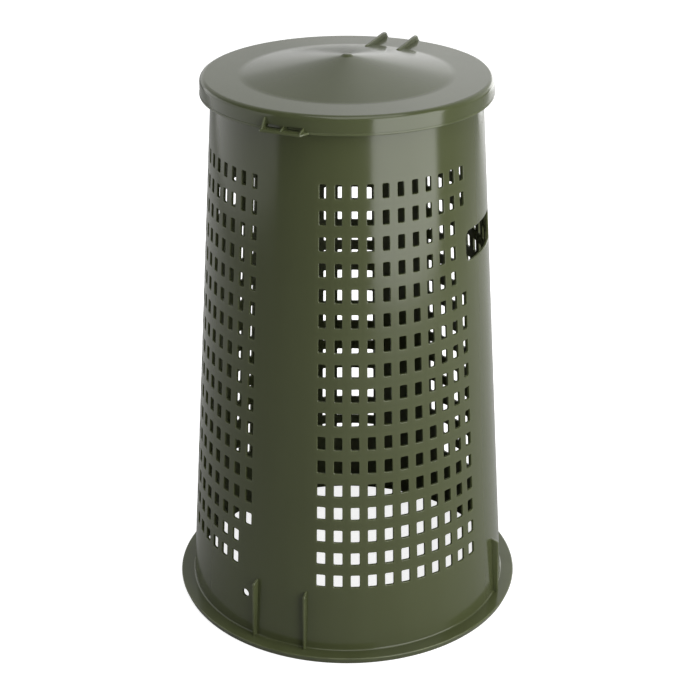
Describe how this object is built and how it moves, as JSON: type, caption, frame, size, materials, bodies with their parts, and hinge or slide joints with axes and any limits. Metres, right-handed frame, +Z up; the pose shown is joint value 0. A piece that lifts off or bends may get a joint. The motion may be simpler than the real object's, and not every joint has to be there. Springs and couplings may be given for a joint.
{
  "type": "pheromone insect trap",
  "caption": "Ground-standing insect trap: tapered perforated plastic housing with an open base, hand slots, base flange, hinged rain lid and a lure cage hung under the lid.",
  "frame": {"origin": "centre of the base flange's underside, on the ground", "axes": "+Z up along the housing's axis; -Y towards the viewer, with the lid's finger tab 23.5 degrees to its left and the hinge opposite"},
  "size_m": [0.2624, 0.2624, 0.4153],
  "materials": {
    "housing_plastic": "dark olive moulded polypropylene, satin, fine moulding grain",
    "lid_plastic": "dark olive moulded polypropylene, satin, slightly glossier than the housing",
    "pin_steel": "plain zinc-plated steel wire pin",
    "cage_plastic": "natural off-white moulded plastic",
    "lure_rubber": "red-brown rubber stopper"
  },
  "bodies": {
    "housing": {"base_flange": "housing_plastic", "gusset_fins": "housing_plastic", "front_right_panel": "housing_plastic", "front_left_panel": "housing_plastic", "rear_right_panel": "housing_plastic", "rear_left_panel": "housing_plastic", "latch_band": "housing_plastic", "hinge_band": "housing_plastic", "right_slot_band": "housing_plastic", "left_slot_band": "housing_plastic", "top_collar": "housing_plastic", "hinge_lugs": "housing_plastic", "hinge_pin": "pin_steel", "pin_retainer": "pin_steel"},
    "lid": {"lid_crown": "lid_plastic", "lid_skirt": "lid_plastic", "finger_tab": "lid_plastic", "hinge_arms": "lid_plastic", "hanger_bracket": "lid_plastic", "hanger_pin": "pin_steel"},
    "lure_swing": {"lure_hanger": "cage_plastic", "lure_cap": "cage_plastic"},
    "lure_cage": {"lure_cage": "cage_plastic", "pheromone_lure": "lure_rubber"}
  },
  "joints": [
    {"name": "lid_hinge", "type": "hinge", "parent": "housing", "child": "lid", "pos_m": [0.04386, 0.10088, 0.392], "axis": [-0.9171, 0.3987, 0], "range_deg": [0, 110]},
    {"name": "lure_swing", "type": "hinge", "parent": "lid", "child": "lure_swing", "pos_m": [0, 0, 0.402], "axis": [1, 0, 0], "range_deg": [-20, 20]},
    {"name": "lure_cage_pull", "type": "slide", "parent": "lure_swing", "child": "lure_cage", "axis": [0, 0, -1], "range_m": [0, 0.055]}
  ]
}
